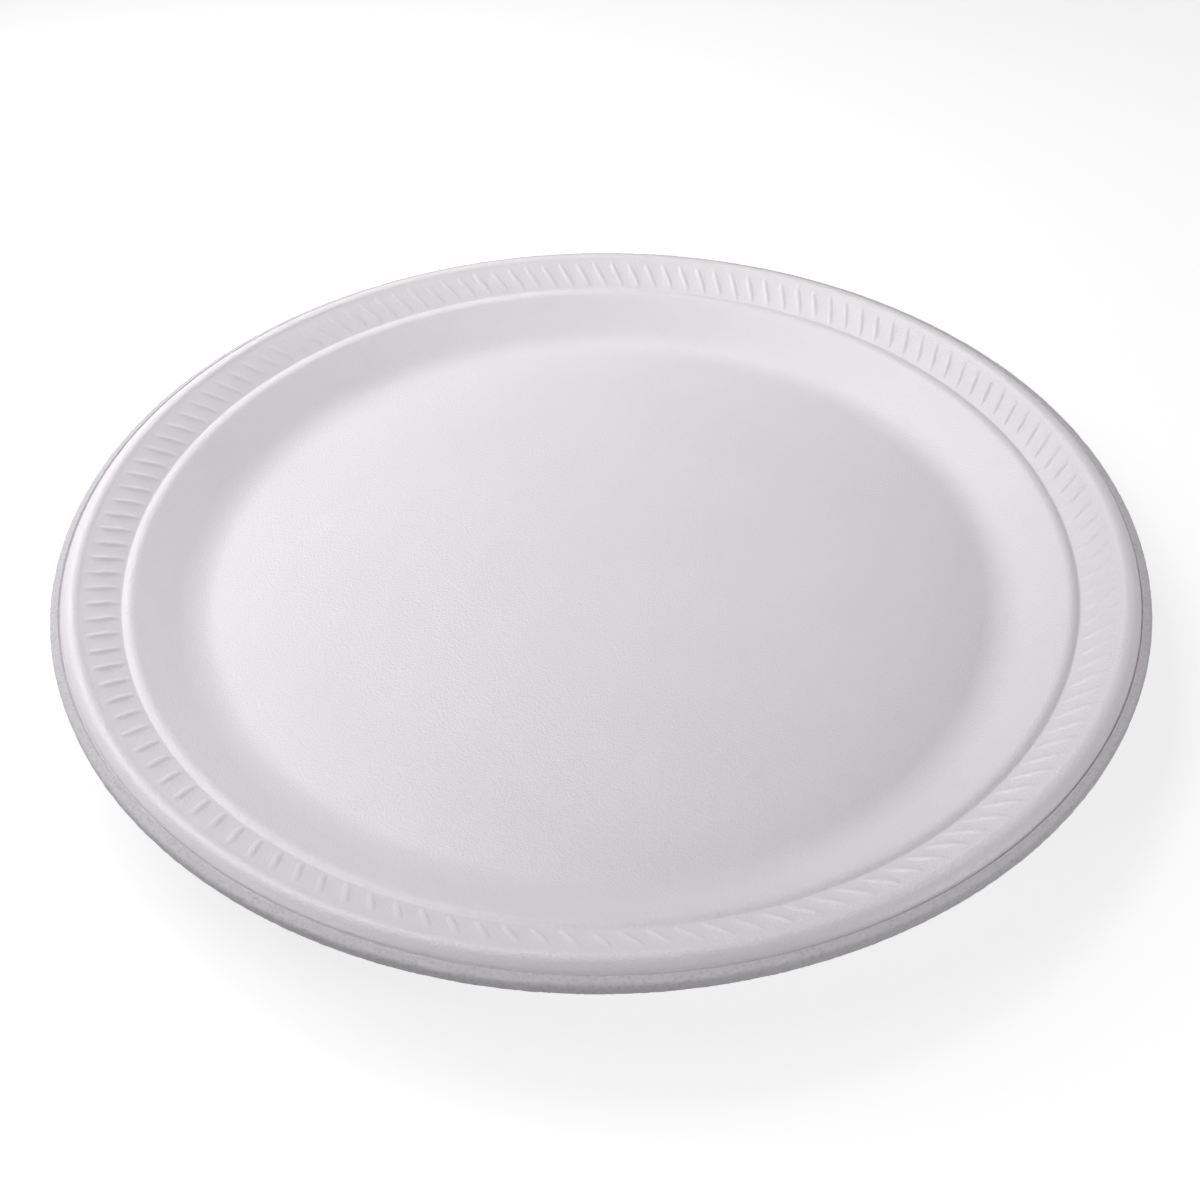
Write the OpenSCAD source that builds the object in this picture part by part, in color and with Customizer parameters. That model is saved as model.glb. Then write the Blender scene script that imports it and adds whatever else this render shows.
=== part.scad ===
// Round foam dinner plate, pressed from one sheet: flat floor, sloping wall, shoulder bead,
// a rising flange with a ring of slanted ribs, and a rolled lip with its cut edge.
// It stands on z = 0 with its axis on Z. The lengths are in millimetres.

/* [Plate] */
// Diameter over the cut edge
plate_d = 260; // [240:1:300]
// Height of the lip's crest above the table
plate_h = 21; // [19:0.5:25]
// Thickness of the foam sheet
sheet = 2.4; // [2.3:0.1:3.2]

/* [Well] */
// Width of the sloping wall, from the floor's corner out to the shoulder bead
wall_w = 12.5; // [10:0.5:16]
// Radius of the soft fillet between the floor and the wall
floor_fillet = 13.5; // [8:0.5:16]
// Depth of the shoulder bead below the lip's crest
shoulder_drop = 6.5; // [6:0.1:7.5]

/* [Shoulder bead] */
// Width from the bead's top out to the foot of the flange
bead_w = 1.9; // [1.8:0.1:2.1]
// Drop from the bead's top to the foot of the flange
bead_h = 0.35; // [0.2:0.05:0.4]
// Radius over the bead's top
bead_round = 2.8; // [1.2:0.1:3]

/* [Flange] */
// Width of the rising flange, from the bead's top out to the lip's crest
flange_w = 11.4; // [10.5:0.1:14]

/* [Ribs] */
// Number of ribs round the flange
rib_count = 140; // [100:1:150]
// Length of a rib along the flange, tip to tip
rib_len = 8.8; // [6:0.1:9]
// Width of a rib where it meets the flange
rib_w = 2; // [1.4:0.1:2.4]
// Width of a rib's flat top
rib_top_w = 0.6; // [0.4:0.1:0.8]
// Height that a rib stands proud of the flange
rib_h = 0.45; // [0.35:0.05:0.6]
// Slant of a rib away from the radius, outer end turned counter-clockwise from above
rib_slant = 24; // [0:1:30]
// Gap between the bead's top and the ring of ribs, measured out from the axis
rib_gap = 2.5; // [2.2:0.1:2.9]

/* [Lip] */
// Width of the lip, from its crest out to the cut edge
lip_w = 5; // [4.5:0.1:6]
// Height of the crest above the flange's top
crest_h = 0.9; // [0.8:0.1:1.2]
// Radius over the crest
crest_round = 2.2; // [1.6:0.1:2.4]
// Slope of the crest's inner side, in degrees
crest_inner = 48; // [44:1:51]
// Slope of the rolled skin outside the crest, in degrees
crest_outer = 35; // [30:1:38]
// Width of the bare cut edge, outside the rolled skin
cut_w = 2.3; // [2:0.1:2.5]
// Slope of the cut edge's upper side, in degrees
cut_slope = 12; // [5:1:20]
// Depth of the cut edge's lower corner below the crest
edge_drop = 4.6; // [4.3:0.1:5]
// Rounding of the cut edge
edge_round = 0.9; // [0.5:0.1:1]

/* [Hidden] */

foam_white = [0.93, 0.92, 0.94];
fine_round = 0.5;
arc_step = 9;
shell_sides = 240;
rib_root = 0.3;
rib_crown = 0.5;

edge_r = plate_d / 2;
crest_r = edge_r - lip_w;
bead_r = crest_r - flange_w;
floor_r = bead_r - wall_w;
bead_z = plate_h - shoulder_drop;

floor_corner = [floor_r, sheet];
bead_top = [bead_r, bead_z];
flange_foot = [bead_r + bead_w, bead_z - bead_h];

// Where the crest's two slopes would meet if its top were not round
crest_lean = (crest_inner - crest_outer) / 2;
crest_turn = (crest_inner + crest_outer) / 2;
crest_tip = [crest_r, plate_h - crest_round]
    + crest_round / cos(crest_turn) * [-sin(crest_lean), cos(crest_lean)];

crest_foot_z = plate_h - crest_h;
crest_foot = [crest_tip.x - (crest_tip.y - crest_foot_z) / tan(crest_inner), crest_foot_z];
skin_r = edge_r - cut_w;
skin_end = [skin_r, crest_tip.y - (skin_r - crest_tip.x) * tan(crest_outer)];
cut_top = [edge_r, skin_end.y - cut_w * tan(cut_slope)];
cut_bottom = [edge_r, plate_h - edge_drop];

flange_run = crest_foot - flange_foot;
flange_slope = atan2(flange_run.y, flange_run.x);

// Direction from one point of the section to the next
function unit(v) = v / norm(v);

// Normal on the underside of a stretch that runs outwards
function below(v) = [unit(v).y, -unit(v).x];

// A corner moved down by the sheet, so that both of its stretches keep the sheet's thickness
function under(a, b, c) =
    let (n = below(b - a), m = below(c - b))
    b + sheet * (n + m) / (1 + n * m);

// The points of an arc of radius r that rounds corner b between a and c
function arc(a, b, c, r) =
    let (
        u = unit(a - b),
        v = unit(c - b),
        half = acos(u * v) / 2,
        centre = b + unit(u + v) * r / sin(half),
        start = b + u * r / tan(half) - centre,
        turn = 180 - 2 * half,
        side = cross(b - a, c - b) > 0 ? 1 : -1,
        steps = max(2, ceil(turn / arc_step))
    )
    [for (i = [0:steps])
        let (t = side * turn * i / steps)
        centre + [start.x * cos(t) - start.y * sin(t), start.x * sin(t) + start.y * cos(t)]];

// A chain of corners [point, radius] with each one rounded
function rounded(chain) =
    [for (i = [0:len(chain) - 1])
        each i == 0 || i == len(chain) - 1 || chain[i][1] == 0
            ? [chain[i][0]]
            : arc(chain[i - 1][0], chain[i][0], chain[i + 1][0], chain[i][1])];

// The section's outline: out along the top, round the cut edge and back along the underside
function section() =
    let (
        floor_under = under([0, sheet], floor_corner, bead_top),
        bead_under = under(floor_corner, bead_top, bead_top + flange_run),
        crest_under = crest_foot + below(flange_run) * sheet
    )
    rounded([
        [[0, 0], 0],
        [[0, sheet], 0],
        [floor_corner, floor_fillet],
        [bead_top, bead_round],
        [flange_foot, fine_round],
        [crest_foot, fine_round],
        [crest_tip, crest_round],
        [skin_end, fine_round],
        [cut_top, edge_round],
        [cut_bottom, fine_round],
        [crest_under, sheet],
        [bead_under, sheet],
        [floor_under, floor_fillet + sheet],
        [[0, 0], 0],
    ]);

// The pressed sheet without its ribs
module shell() {
    rotate_extrude($fn = shell_sides)
        polygon(section());
}

// One rib: a low ridge, widest and highest along its middle, with both ends run out to a point.
// Its outline is sunk into the flange, and its length and width hold where it meets the surface.
module rib() {
    crown = rib_len * rib_crown / 2;
    spread = rib_root / rib_h;
    tip = rib_len / 2 + (rib_len / 2 - crown) * spread;
    side = rib_w / 2 + (rib_w - rib_top_w) / 2 * spread;
    top = rib_top_w / 2;
    rotate([0, 0, rib_slant])
        polyhedron(
            points = [
                [-tip, 0, -rib_root], [-crown, side, -rib_root], [crown, side, -rib_root],
                [tip, 0, -rib_root], [crown, -side, -rib_root], [-crown, -side, -rib_root],
                [-crown, top, rib_h], [crown, top, rib_h], [crown, -top, rib_h], [-crown, -top, rib_h],
            ],
            faces = [
                [0, 5, 4, 3, 2, 1], [6, 7, 8, 9], [1, 2, 7, 6], [4, 5, 9, 8],
                [0, 1, 6], [0, 6, 9], [0, 9, 5], [3, 4, 8], [3, 8, 7], [3, 7, 2],
            ]);
}

// The ring of ribs, lying on the flange's slope
module ribs() {
    reach = rib_gap + rib_len / 2 * cos(rib_slant) * cos(flange_slope);
    middle = flange_foot + (reach - bead_w) / flange_run.x * flange_run;
    for (i = [0:rib_count - 1])
        rotate([0, 0, i * 360 / rib_count])
            translate([middle.x, 0, middle.y])
                rotate([0, -flange_slope, 0])
                    rib();
}

module plate() {
    color(foam_white) {
        shell();
        ribs();
    }
}

plate();
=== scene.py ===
"""A ribbed foam dinner plate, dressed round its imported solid, on a plain white studio floor."""

import math

import bmesh
import bpy
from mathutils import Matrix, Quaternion, Vector


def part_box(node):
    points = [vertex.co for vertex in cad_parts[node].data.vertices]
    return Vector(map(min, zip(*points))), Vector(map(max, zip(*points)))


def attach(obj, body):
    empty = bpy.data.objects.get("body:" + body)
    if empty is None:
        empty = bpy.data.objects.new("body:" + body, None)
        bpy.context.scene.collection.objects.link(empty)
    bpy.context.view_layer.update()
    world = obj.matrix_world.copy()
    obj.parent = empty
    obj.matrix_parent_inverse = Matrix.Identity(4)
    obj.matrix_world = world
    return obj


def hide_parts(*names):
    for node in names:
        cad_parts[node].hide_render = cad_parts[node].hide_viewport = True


bl_info = {
    "name": "Ribbed Foam Plate",
    "version": (1, 0, 0),
    "blender": (4, 5, 0),
    "location": "View3D > Sidebar > Foam Plate",
    "description": "Models a pressed foam dinner plate and the studio that it is shown in",
    "category": "Add Mesh",
}

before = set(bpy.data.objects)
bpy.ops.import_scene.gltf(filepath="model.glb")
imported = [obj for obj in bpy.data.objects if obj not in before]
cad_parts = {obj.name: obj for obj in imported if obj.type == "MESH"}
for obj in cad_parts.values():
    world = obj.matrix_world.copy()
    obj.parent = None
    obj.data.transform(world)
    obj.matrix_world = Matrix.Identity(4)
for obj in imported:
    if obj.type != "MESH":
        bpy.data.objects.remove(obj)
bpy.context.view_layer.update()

BODY = "root"
NODE = "plate"
PIECE = "foam_plate"
MM = 0.001
_, PLATE_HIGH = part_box(NODE)

# How far the piece stays inside the solid's box: its rounded forms, and the uneven cut edge
HAIR = 0.02 * MM
ROUGH = 0.09 * MM

# Distances under which two places count as one
WELD = 0.01 * MM
ROW_REACH = 0.02 * MM
SPOT_REACH = 0.05 * MM
LEVEL_REACH = 0.1 * MM


def length(name, description, size):
    """A length that the panel shows, in metres."""
    return bpy.props.FloatProperty(name=name, description=description, default=size, unit="LENGTH")


def angle(name, description, degrees):
    """An angle that the panel shows."""
    return bpy.props.FloatProperty(
        name=name, description=description, default=math.radians(degrees), unit="ROTATION")


def colour(name, description, rgb):
    """A colour that the panel shows."""
    return bpy.props.FloatVectorProperty(
        name=name, description=description, default=rgb, size=3, subtype="COLOR")


class PlateSizes(bpy.types.PropertyGroup):
    """Sizes of the pressed plate."""

    edge_radius: length("Edge radius", "From the axis to the cut edge", PLATE_HIGH.x - ROUGH)
    crest_height: length("Crest height", "From the table to the lip's crest", PLATE_HIGH.z - HAIR)
    sheet: length("Sheet", "Thickness of the foam", 2.4 * MM)
    wall_width: length("Wall width", "From the floor's corner to the shoulder bead", 12.5 * MM)
    floor_fillet: length("Floor fillet", "Radius between the floor and the wall", 13.5 * MM)
    shoulder_drop: length("Shoulder drop", "From the crest down to the shoulder bead", 6.5 * MM)
    bead_width: length("Bead width", "From the bead's top to the flange's foot", 1.9 * MM)
    bead_height: length("Bead height", "From the bead's top down to the flange's foot", 0.35 * MM)
    bead_round: length("Bead rounding", "Radius over the bead's top", 2.8 * MM)
    flange_width: length("Flange width", "From the bead's top to the lip's crest", 11.4 * MM)
    lip_width: length("Lip width", "From the lip's crest to the cut edge", 5.0 * MM)
    crest_rise: length("Crest rise", "Height of the crest above the flange", 0.9 * MM)
    crest_round: length("Crest rounding", "Radius over the crest", 2.2 * MM)
    crest_inner: angle("Inner slope", "Slope of the crest's inner side", 48)
    crest_outer: angle("Outer slope", "Slope of the rolled skin", 35)
    cut_width: length("Cut width", "Width of the bare cut edge", 2.3 * MM)
    cut_slope: angle("Cut slope", "Slope of the cut edge's upper side", 12)
    edge_drop: length("Edge drop", "From the crest down to the cut edge's lower corner", 4.6 * MM)


class RibSizes(bpy.types.PropertyGroup):
    """Sizes of the ribs on the flange."""

    count: bpy.props.IntProperty(
        name="Ribs", description="Number of ribs round the flange", default=140, min=12)
    length: length("Rib length", "Along the flange, tip to tip, without the slant", 8.05 * MM)
    width: length("Rib width", "Where a rib meets the flange", 1.9 * MM)
    height: length("Rib height", "How far a rib stands proud", 0.4 * MM)
    slant: angle("Rib slant", "Turn about the axis from a rib's inner to its outer end", 1.78)
    gap: length("Rib gap", "From the bead's top out to the ribs", 2.5 * MM)


class FoamFinish(bpy.types.PropertyGroup):
    """Colours and grain of the foam."""

    skin: colour("Skin", "Colour of the pressed skin", (0.795, 0.765, 0.79))
    # The cut edge's grey is darker than the skin: painted shade of the edge that faces out and down, away
    # from the lamps, laid on the bare cells' own colour
    cut: colour("Cut edge", "Colour of the bare cells", (0.58, 0.565, 0.59))
    cell: length("Cell size", "Size of the skin's grain", 0.48 * MM)


# Section of the plate

FINE_ROUND = 0.5 * MM
EDGE_ROUND = 0.9 * MM

# The skin's edge before the cut, then the groove's foot and the bare foam after it, in
# millimetres: along the surface from the corner, and down
SKIN_CURL = ((-1.05, 0.0), (-0.7, 0.03), (-0.36, 0.11), (-0.12, 0.22), (0.0, 0.4))
GROOVE = ((0.14, 0.46), (0.42, 0.0))

# Where rows of points cross a rib, as shares of its length, and where columns cross its
# width, in millimetres
RIB_STATIONS = (-0.03, 0.04, 0.14, 0.3, 0.5, 0.7, 0.86, 0.96, 1.03)
COLUMNS = (-1.1, -0.84, -0.52, -0.18, 0.18, 0.52, 0.84, 1.1)


def rounded_corner(before, corner, after, radius, steps):
    """Points of an arc that rounds a corner of the section."""
    a, b, c = Vector(before), Vector(corner), Vector(after)
    u, v = (a - b).normalized(), (c - b).normalized()
    half = u.angle(v) / 2
    centre = b + (u + v).normalized() * radius / math.sin(half)
    start = b + u * radius / math.tan(half) - centre
    turn = (math.pi - 2 * half) * (1 if (b - a).cross(c - b) > 0 else -1)
    points = []
    for i in range(steps + 1):
        t = turn * i / steps
        points.append(centre + Vector((start.x * math.cos(t) - start.y * math.sin(t),
                                       start.x * math.sin(t) + start.y * math.cos(t))))
    return points


def below(run):
    """Normal on the underside of a stretch that runs outwards."""
    return Vector((run.y, -run.x)).normalized()


def moved_down(a, b, c, depth):
    """Corner b of the top, moved down by the sheet's thickness."""
    n, m = below(b - a), below(c - b)
    return b + depth * (n + m) / (1 + n.dot(m))


def section_corners(s):
    """The section's corners by name, out along the top and back along the underside."""
    crest_r = s.edge_radius - s.lip_width
    bead = Vector((crest_r - s.flange_width, s.crest_height - s.shoulder_drop))
    floor = Vector((bead.x - s.wall_width, s.sheet))
    foot = bead + Vector((s.bead_width, -s.bead_height))
    lean, turn = (s.crest_inner - s.crest_outer) / 2, (s.crest_inner + s.crest_outer) / 2
    tip = Vector((crest_r, s.crest_height - s.crest_round))
    tip += Vector((-math.sin(lean), math.cos(lean))) * s.crest_round / math.cos(turn)
    crest_foot_z = s.crest_height - s.crest_rise
    crest_foot = Vector((tip.x - (tip.y - crest_foot_z) / math.tan(s.crest_inner), crest_foot_z))
    skin_r = s.edge_radius - s.cut_width
    skin_end = Vector((skin_r, tip.y - (skin_r - tip.x) * math.tan(s.crest_outer)))
    cut_top = Vector((s.edge_radius, skin_end.y - s.cut_width * math.tan(s.cut_slope)))
    centre = Vector((0, s.sheet))
    return {
        "centre": centre,
        "floor": floor,
        "bead": bead,
        "foot": foot,
        "crest_foot": crest_foot,
        "tip": tip,
        "skin_end": skin_end,
        "cut_top": cut_top,
        "cut_bottom": Vector((s.edge_radius, s.crest_height - s.edge_drop)),
        "crest_under": crest_foot + below(crest_foot - foot) * s.sheet,
        "bead_under": moved_down(floor, bead, bead + crest_foot - foot, s.sheet),
        "floor_under": moved_down(centre, floor, bead, s.sheet),
        "centre_under": Vector((0, 0)),
    }


def section_points(s, ribs):
    """The section from the floor's top out round the lip to its underside, and the ribs' rows."""
    c = section_corners(s)
    rounds = [
        ("floor", s.floor_fillet, 8),
        ("bead", s.bead_round, 6),
        ("foot", FINE_ROUND, 2),
        ("crest_foot", FINE_ROUND, 2),
        ("tip", s.crest_round, 7),
        ("skin_end", 0, 0),
        ("cut_top", EDGE_ROUND, 4),
        ("cut_bottom", FINE_ROUND, 3),
        ("crest_under", s.sheet, 3),
        ("bead_under", s.sheet, 2),
        ("floor_under", s.floor_fillet + s.sheet, 6),
    ]
    order = ["centre"] + [name for name, _, _ in rounds] + ["centre_under"]
    points, rows = [], {}
    for name, radius, steps in rounds:
        i = order.index(name)
        before, here, after = c[order[i - 1]], c[name], c[order[i + 1]]
        if name == "crest_foot":
            rows = rib_rows(c, s, ribs, len(points))
            points += [point for point, _ in rows.values()]
        if name == "skin_end":
            points += trim_groove(before, here, after)
        else:
            if name in ("cut_top", "cut_bottom"):
                points += [points[-1].lerp(here, share) for share in (0.25, 0.5)]
            points += rounded_corner(before, here, after, radius, steps)
    return points, rows


def trim_groove(before, corner, after):
    """The skin's edge curls down into a fine groove where it is cut, and bare foam follows."""
    points = []
    for run, offsets in ((corner - before, SKIN_CURL), (after - corner, GROOVE)):
        along, down = run.normalized(), below(run.normalized())
        points += [corner + (along * x + down * y) * MM for x, y in offsets]
    return points


def rib_rows(corners, s, ribs, first):
    """The rows across the ribs: row number to its point and its share of the rib's length."""
    run = corners["crest_foot"] - corners["foot"]
    slope = run.normalized()
    start = corners["foot"] + run * (ribs.gap - s.bead_width) / run.x
    return {first + i: (start + slope * ribs.length * share, share)
            for i, share in enumerate(RIB_STATIONS)}


def rib_height(ribs, share, across):
    """Height of a rib at a share of its length and a distance across it."""
    if not 0 < share < 1:
        return 0.0
    along = 1 - abs(2 * share - 1) ** 3
    half = ribs.width / 2 * math.sqrt(along)
    if abs(across) >= half:
        return 0.0
    return ribs.height * along * (1 - (across / half) ** 2)


def rib_turn(ribs, share):
    """Turn of a row about the axis: ribs lean most in their middle and straighten at their ends."""
    t = min(max(share, 0.0), 1.0)
    return ribs.slant * (0.6 * t + 0.4 * t * t * (3 - 2 * t))


# Modelling helpers

def deselect():
    """Leaves edit mode and selects nothing."""
    if bpy.context.object and bpy.context.object.mode != "OBJECT":
        bpy.ops.object.mode_set(mode="OBJECT")
    bpy.ops.object.select_all(action="DESELECT")


def select_where(piece, test):
    """Selects the vertices that pass a test, in edit mode."""
    bpy.ops.mesh.select_mode(type="VERT")
    bpy.ops.mesh.select_all(action="DESELECT")
    mesh = bmesh.from_edit_mesh(piece.data)
    for vertex in mesh.verts:
        if test(vertex.co):
            vertex.select = True
    mesh.select_flush(True)
    bmesh.update_edit_mesh(piece.data)


def angle_of(co):
    """Direction of a point about the plate's axis."""
    return math.atan2(co.y, co.x)


def radius_of(co):
    """Distance of a point from the plate's axis."""
    return math.hypot(co.x, co.y)


def turn_selected(turn):
    """Turns the selection about the plate's axis, anticlockwise from above."""
    if abs(turn) > 1e-9:
        bpy.ops.transform.rotate(value=-turn, orient_axis="Z", center_override=(0, 0, 0))


def ring_radius(rows):
    """Middle radius of the ring of ribs."""
    return sum(point.x for point, _ in rows.values()) / len(rows)


EDGE_UNEVENNESS = {"offset": 0.07 * MM, "uniform": 0.0, "normal": 0.7, "seed": 5}
BARE_START = 0.45 * MM
SHARP_ANGLE = math.radians(40)


class PLATE_OT_model(bpy.types.Operator):
    """Model the pressed foam plate with its ribs"""

    bl_idname = "foam_plate.model"
    bl_label = "Plate"

    def execute(self, context):
        s, ribs = context.scene.plate_sizes, context.scene.rib_sizes
        points, rows = section_points(s, ribs)
        piece = self.draw_section(points)
        sector = 2 * math.pi / ribs.count
        side = self.sweep_sector(piece, points, rows, sector, ribs)
        self.raise_rib(piece, rows, side * sector / 2, ribs)
        self.copy_round(piece, sector, ribs.count)
        self.close_floor(piece, s)
        self.finish_mesh(piece, s)
        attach(piece, BODY)
        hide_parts(NODE)
        return {"FINISHED"}

    def draw_section(self, points):
        """One chain of edges along the section."""
        deselect()
        bpy.ops.mesh.primitive_plane_add(size=MM, location=(points[0].x, 0, points[0].y))
        piece = bpy.context.object
        piece.name = piece.data.name = PIECE
        bpy.ops.object.transform_apply(location=True)
        bpy.ops.object.mode_set(mode="EDIT")
        bpy.ops.mesh.select_all(action="SELECT")
        bpy.ops.mesh.merge(type="CENTER")
        for here, there in zip(points, points[1:]):
            step = there - here
            bpy.ops.mesh.extrude_vertices_move(
                TRANSFORM_OT_translate={"value": (step.x, 0, step.y)})
        return piece

    def sweep_sector(self, piece, points, rows, sector, ribs):
        """The section swept over one rib's share of the ring, with columns gathered at the rib.

        Returns 1 or -1 for the side that the sweep went to.
        """
        bpy.ops.mesh.select_all(action="SELECT")
        steps = len(COLUMNS) + 1
        bpy.ops.mesh.spin(steps=steps, angle=sector, center=(0, 0, 0), axis=(0, 0, 1))
        mesh = bmesh.from_edit_mesh(piece.data)
        side = 1 if max((angle_of(v.co) for v in mesh.verts), key=abs) > 0 else -1
        rib_r = ring_radius(rows)
        # From the middle outwards, so that no column lands on one that hasn't moved yet
        middle = (len(COLUMNS) - 1) / 2
        for i in sorted(range(len(COLUMNS)), key=lambda i: abs(i - middle)):
            now = side * sector * (i + 1) / steps
            wanted = side * (sector / 2 + COLUMNS[i] * MM / rib_r)
            select_where(piece, lambda co: abs(angle_of(co) - now) < sector / 60)
            turn_selected(wanted - now)
        first, last = min(rows), max(rows)
        for i, point in enumerate(points):
            if i < first:
                continue
            share = rows[i][1] if i <= last else 1.0
            place = Vector((point.x, point.y))
            select_where(piece, lambda co: (Vector((radius_of(co), co.z)) - place).length < ROW_REACH)
            turn_selected(rib_turn(ribs, share))
        return side

    def raise_rib(self, piece, rows, middle, ribs):
        """The rib is drawn up from the flange, one station after another."""
        ordered = sorted(rows)
        up = -below(rows[ordered[-1]][0] - rows[ordered[0]][0])
        rib_r = ring_radius(rows)
        for i in ordered:
            point, share = rows[i]
            for across in COLUMNS:
                height = rib_height(ribs, share, across * MM)
                if height <= 0:
                    continue
                turn = middle + across * MM / rib_r + rib_turn(ribs, share)
                out = Vector((math.cos(turn), math.sin(turn), 0))
                spot = Vector((point.x * out.x, point.x * out.y, point.y))
                select_where(piece, lambda co: (co - spot).length < SPOT_REACH)
                bpy.ops.transform.translate(value=(out * up.x + Vector((0, 0, up.y))) * height)

    def copy_round(self, piece, sector, count):
        """The sector copied round the ring and joined to itself."""
        bpy.ops.mesh.select_all(action="SELECT")
        bpy.ops.mesh.spin(steps=count - 1, angle=sector * (count - 1), dupli=True,
                          center=(0, 0, 0), axis=(0, 0, 1))
        bpy.ops.mesh.select_all(action="SELECT")
        bpy.ops.mesh.remove_doubles(threshold=WELD)

    def close_floor(self, piece, s):
        """Both sides of the floor closed by a disc with one pole."""
        for z in (s.sheet, 0.0):
            bpy.ops.mesh.select_all(action="DESELECT")
            mesh = bmesh.from_edit_mesh(piece.data)
            for edge in mesh.edges:
                if edge.is_boundary and abs(edge.verts[0].co.z - z) < LEVEL_REACH:
                    edge.select_set(True)
            bmesh.update_edit_mesh(piece.data)
            bpy.ops.mesh.select_mode(type="EDGE")
            bpy.ops.mesh.edge_face_add()
            bpy.ops.mesh.poke()

    def finish_mesh(self, piece, s):
        """Normals, the uneven cut edge with its own material, and smooth shading."""
        bpy.ops.mesh.select_all(action="SELECT")
        bpy.ops.mesh.normals_make_consistent(inside=False)
        piece.data.materials.append(foam_skin())
        piece.data.materials.append(cut_foam())
        corners = section_corners(s)
        cut_r, cut_z = corners["skin_end"].x, corners["cut_bottom"].y
        select_where(piece, lambda co: radius_of(co) > cut_r + BARE_START
                     and co.z > cut_z + LEVEL_REACH)
        bpy.ops.transform.vertex_random(**EDGE_UNEVENNESS)
        bpy.ops.mesh.select_mode(type="FACE")
        bpy.ops.mesh.select_all(action="DESELECT")
        mesh = bmesh.from_edit_mesh(piece.data)
        for face in mesh.faces:
            middle = face.calc_center_median()
            if radius_of(middle) > cut_r and middle.z > cut_z - LEVEL_REACH:
                face.select_set(True)
        bmesh.update_edit_mesh(piece.data)
        piece.active_material_index = 1
        bpy.ops.object.material_slot_assign()
        bpy.ops.object.mode_set(mode="OBJECT")
        bpy.ops.object.shade_smooth_by_angle(angle=SHARP_ANGLE)
        mesh = bmesh.new()
        mesh.from_mesh(piece.data)
        open_edges = sum(not edge.is_manifold for edge in mesh.edges)
        mesh.free()
        if open_edges:
            raise RuntimeError(f"the plate's mesh has {open_edges} open edges")


# Materials

def new_node(tree, kind, inputs=None, **settings):
    """A node with its settings and input values."""
    node = tree.nodes.new(kind)
    for name, value in settings.items():
        setattr(node, name, value)
    for name, value in (inputs or {}).items():
        node.inputs[name].default_value = value
    return node


def foam_grain():
    """Grain of foam: cells of a given size, and broad patches that vary in tone."""
    found = bpy.data.node_groups.get("Foam Grain")
    if found:
        return found
    group = bpy.data.node_groups.new("Foam Grain", "ShaderNodeTree")
    group.interface.new_socket(name="Vector", in_out="INPUT", socket_type="NodeSocketVector")
    group.interface.new_socket(name="Cells per metre", in_out="INPUT", socket_type="NodeSocketFloat")
    group.interface.new_socket(name="Height", in_out="OUTPUT", socket_type="NodeSocketFloat")
    group.interface.new_socket(name="Tone", in_out="OUTPUT", socket_type="NodeSocketFloat")
    inside = new_node(group, "NodeGroupInput")
    outside = new_node(group, "NodeGroupOutput")
    cells = new_node(group, "ShaderNodeTexVoronoi", feature="SMOOTH_F1",
                     inputs={"Smoothness": 0.6, "Randomness": 1.0})
    fine = new_node(group, "ShaderNodeTexNoise", inputs={"Detail": 3.0, "Roughness": 0.6})
    broad = new_node(group, "ShaderNodeTexNoise",
                     inputs={"Scale": 28.0, "Detail": 3.0, "Roughness": 0.5})
    finer = new_node(group, "ShaderNodeMath", operation="MULTIPLY", inputs={1: 1.7})
    mix = new_node(group, "ShaderNodeMath", operation="MULTIPLY_ADD", inputs={1: 0.6})
    link = group.links.new
    for texture in (cells, fine, broad):
        link(inside.outputs["Vector"], texture.inputs["Vector"])
    link(inside.outputs["Cells per metre"], cells.inputs["Scale"])
    link(inside.outputs["Cells per metre"], finer.inputs[0])
    link(finer.outputs[0], fine.inputs["Scale"])
    link(fine.outputs["Fac"], mix.inputs[0])
    link(cells.outputs["Distance"], mix.inputs[2])
    link(mix.outputs[0], outside.inputs["Height"])
    link(broad.outputs["Fac"], outside.inputs["Tone"])
    return group


def grain_node(tree, cell):
    """The grain group placed in a material, on Object coordinates."""
    place = new_node(tree, "ShaderNodeTexCoord")
    grain = tree.nodes.new("ShaderNodeGroup")
    grain.node_tree = foam_grain()
    grain.inputs["Cells per metre"].default_value = 1 / cell
    tree.links.new(place.outputs["Object"], grain.inputs["Vector"])
    return grain


def new_material(name):
    """A material with its node tree and its Principled shader."""
    material = bpy.data.materials.new(name)
    material.use_nodes = True
    tree = material.node_tree
    return material, tree, tree.nodes["Principled BSDF"]


def shade_colour(tree, surface, rgb, value, shade):
    """The shader's colour: one colour, scaled by a value of the grain."""
    scaled = new_node(tree, "ShaderNodeVectorMath", operation="SCALE", inputs={0: tuple(rgb)})
    tree.links.new(value, shade.inputs["Value"])
    tree.links.new(shade.outputs["Result"], scaled.inputs["Scale"])
    tree.links.new(scaled.outputs["Vector"], surface.inputs["Base Color"])


def bump_surface(tree, surface, grain, strength, depth):
    """The grain's height on the shader's normal."""
    bump = new_node(tree, "ShaderNodeBump", inputs={"Strength": strength, "Distance": depth})
    tree.links.new(grain.outputs["Height"], bump.inputs["Height"])
    tree.links.new(bump.outputs["Normal"], surface.inputs["Normal"])


def foam_skin():
    """Pressed skin: satin, faintly grained, with a soft unevenness of tone."""
    finish = bpy.context.scene.foam_finish
    material, tree, surface = new_material("Foam Skin")
    grain = grain_node(tree, finish.cell)
    tone = new_node(tree, "ShaderNodeMapRange", inputs={"To Min": 0.97, "To Max": 1.03})
    shade_colour(tree, surface, finish.skin, grain.outputs["Tone"], tone)
    gloss = new_node(tree, "ShaderNodeMapRange", inputs={"To Min": 0.22, "To Max": 0.38})
    tree.links.new(grain.outputs["Height"], gloss.inputs["Value"])
    tree.links.new(gloss.outputs["Result"], surface.inputs["Roughness"])
    bump_surface(tree, surface, grain, 0.9, 0.09 * MM)
    return material


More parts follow.
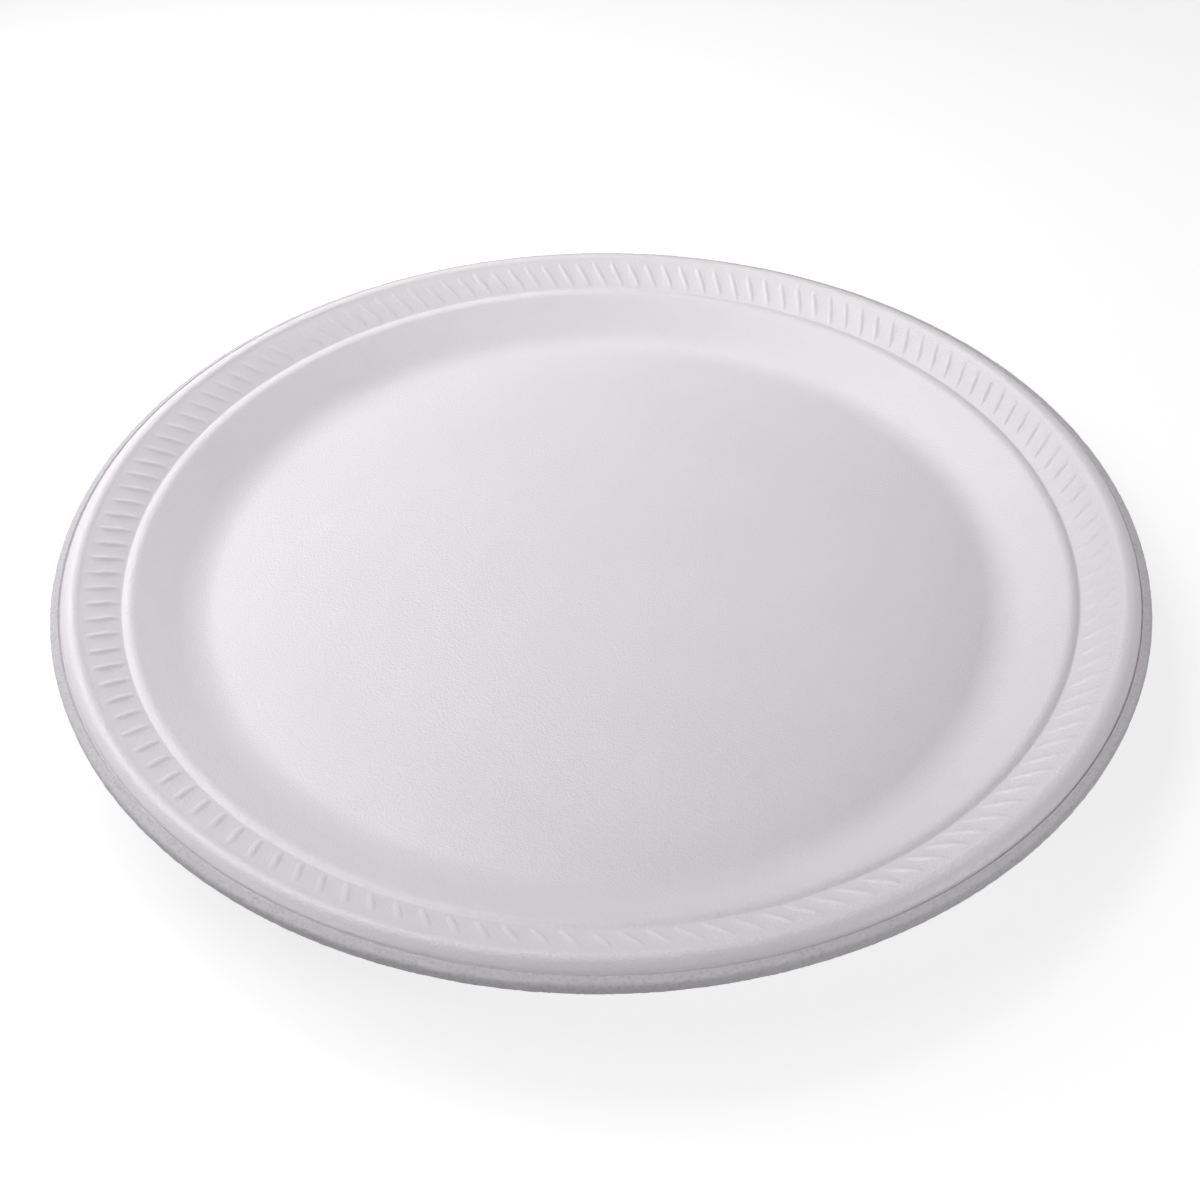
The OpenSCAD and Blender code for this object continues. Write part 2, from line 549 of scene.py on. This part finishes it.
def cut_foam():
    """Bare cells on the cut edge: matt and porous, in a grey darker than the skin that is painted shade,
    with painted shade in the pores' hollows.
    """
    finish = bpy.context.scene.foam_finish
    material, tree, surface = new_material("Cut Foam")
    grain = grain_node(tree, finish.cell * 1.8)
    # Painted shade: the cut edge's colour is darkened where the grain's height is low, in the pores'
    # hollows
    painted_pore_shade = new_node(tree, "ShaderNodeMapRange",
                     inputs={"From Min": 0.2, "From Max": 0.8, "To Min": 0.84, "To Max": 1.06})
    # Painted shade: the cut edge takes a grey darker than the skin's
    shade_colour(tree, surface, finish.cut, grain.outputs["Height"], painted_pore_shade)
    bump_surface(tree, surface, grain, 0.7, 0.12 * MM)
    surface.inputs["Roughness"].default_value = 0.8
    return material


# Studio

CAMERA_EYE = (-0.0002, -0.2375, 0.2127)
CAMERA_ELEVATION = math.radians(43.5)
CAMERA_ROLL = math.radians(-0.53)
CAMERA_LENS = 37.05
CAMERA_SENSOR = 36
CAMERA_NEAR = 0.01

# Name, azimuth, elevation, distance and size of each square lamp, and its watts
LAMPS = (
    ("Key", 150, 45, 0.45, 0.35, 1.29),
    ("Top", 118, 62, 0.55, 0.15, 0.5),
    ("Sheen", 195, 55, 0.8, 0.2, 0.47),
    ("Low", 220, 14, 1.0, 0.2, 1.75),
    ("Fill", 330, 20, 1.0, 0.35, 3.0),
)
WORLD_LEVEL = 0.105
FLOOR_SIZE = 6
FLOOR_GREY = (0.42, 0.42, 0.42, 1)
FLOOR_GLOW = 0.74
WHITE = (1, 1, 1, 1)


class PLATE_OT_stage(bpy.types.Operator):
    """Build the floor, the lamps, the world and the camera"""

    bl_idname = "foam_plate.stage"
    bl_label = "Studio"

    def execute(self, context):
        self.add_floor()
        for lamp in LAMPS:
            self.add_lamp(*lamp)
        self.light_world(context.scene)
        self.add_camera(context.scene)
        context.scene.view_settings.view_transform = "Standard"
        return {"FINISHED"}

    def add_floor(self):
        deselect()
        bpy.ops.mesh.primitive_plane_add(size=FLOOR_SIZE, location=(0, 0, -HAIR))
        floor = bpy.context.object
        floor.name = "studio_floor"
        floor.data.materials.append(studio_white())

    def add_lamp(self, name, azimuth, elevation, distance, size, power):
        deselect()
        turn, rise = math.radians(azimuth), math.radians(elevation)
        toward = Vector((math.cos(turn) * math.cos(rise), math.sin(turn) * math.cos(rise), math.sin(rise)))
        bpy.ops.object.light_add(type="AREA", location=toward * distance)
        lamp = bpy.context.object
        lamp.name = name
        lamp.data.size = size
        lamp.data.energy = power
        lamp.rotation_euler = toward.to_track_quat("Z", "Y").to_euler()

    def light_world(self, scene):
        """Soft light from all round, and pure white where the camera or a gloss looks past the floor."""
        scene.world = bpy.data.worlds.new("Studio")
        scene.world.use_nodes = True
        tree = scene.world.node_tree
        light = tree.nodes["Background"]
        light.inputs["Color"].default_value = WHITE
        light.inputs["Strength"].default_value = WORLD_LEVEL
        white = new_node(tree, "ShaderNodeBackground", inputs={"Strength": 1.0, "Color": WHITE})
        mix = new_node(tree, "ShaderNodeMixShader")
        tree.links.new(camera_or_glossy(tree), mix.inputs["Fac"])
        tree.links.new(light.outputs[0], mix.inputs[1])
        tree.links.new(white.outputs[0], mix.inputs[2])
        tree.links.new(mix.outputs[0], tree.nodes["World Output"].inputs["Surface"])

    def add_camera(self, scene):
        deselect()
        bpy.ops.object.camera_add(location=CAMERA_EYE)
        camera = bpy.context.object
        camera.name = "Camera"
        camera.data.sensor_width = CAMERA_SENSOR
        camera.data.lens = CAMERA_LENS
        camera.data.clip_start = CAMERA_NEAR
        camera.rotation_mode = "QUATERNION"
        tilt = Quaternion((1, 0, 0), math.pi / 2 - CAMERA_ELEVATION)
        camera.rotation_quaternion = tilt @ Quaternion((0, 0, 1), CAMERA_ROLL)
        scene.camera = camera


def camera_or_glossy(tree):
    """1 for rays that come from the camera, a gloss or a glass."""
    path = new_node(tree, "ShaderNodeLightPath")
    first = new_node(tree, "ShaderNodeMath", operation="MAXIMUM")
    second = new_node(tree, "ShaderNodeMath", operation="MAXIMUM")
    tree.links.new(path.outputs["Is Camera Ray"], first.inputs[0])
    tree.links.new(path.outputs["Is Glossy Ray"], first.inputs[1])
    tree.links.new(first.outputs[0], second.inputs[0])
    tree.links.new(path.outputs["Is Transmission Ray"], second.inputs[1])
    return second.outputs[0]


def studio_white():
    """White floor that takes the plate's shadow."""
    material, tree, surface = new_material("Studio White")
    surface.inputs["Base Color"].default_value = FLOOR_GREY
    surface.inputs["Roughness"].default_value = 1.0
    surface.inputs["Specular IOR Level"].default_value = 0.0
    surface.inputs["Emission Color"].default_value = WHITE
    glow = new_node(tree, "ShaderNodeMath", operation="MULTIPLY", inputs={1: FLOOR_GLOW})
    tree.links.new(camera_or_glossy(tree), glow.inputs[0])
    tree.links.new(glow.outputs[0], surface.inputs["Emission Strength"])
    return material


class PLATE_PT_panel(bpy.types.Panel):
    """Sidebar panel of the foam plate"""

    bl_idname = "PLATE_PT_panel"
    bl_label = "Foam Plate"
    bl_space_type = "VIEW_3D"
    bl_region_type = "UI"
    bl_category = "Foam Plate"

    def draw(self, context):
        scene = context.scene
        for group in (scene.plate_sizes, scene.rib_sizes, scene.foam_finish):
            box = self.layout.box()
            for name in group.bl_rna.properties.keys():
                if name not in ("rna_type", "name"):
                    box.prop(group, name)
        for operator in (PLATE_OT_model, PLATE_OT_stage):
            self.layout.operator(operator.bl_idname)


CLASSES = (PlateSizes, RibSizes, FoamFinish, PLATE_OT_model, PLATE_OT_stage, PLATE_PT_panel)


def register():
    for cls in CLASSES:
        bpy.utils.register_class(cls)
    bpy.types.Scene.plate_sizes = bpy.props.PointerProperty(type=PlateSizes)
    bpy.types.Scene.rib_sizes = bpy.props.PointerProperty(type=RibSizes)
    bpy.types.Scene.foam_finish = bpy.props.PointerProperty(type=FoamFinish)


def unregister():
    del bpy.types.Scene.foam_finish
    del bpy.types.Scene.rib_sizes
    del bpy.types.Scene.plate_sizes
    for cls in reversed(CLASSES):
        bpy.utils.unregister_class(cls)


def main():
    register()
    bpy.ops.foam_plate.model()
    bpy.ops.foam_plate.stage()


if __name__ == "__main__":
    main()
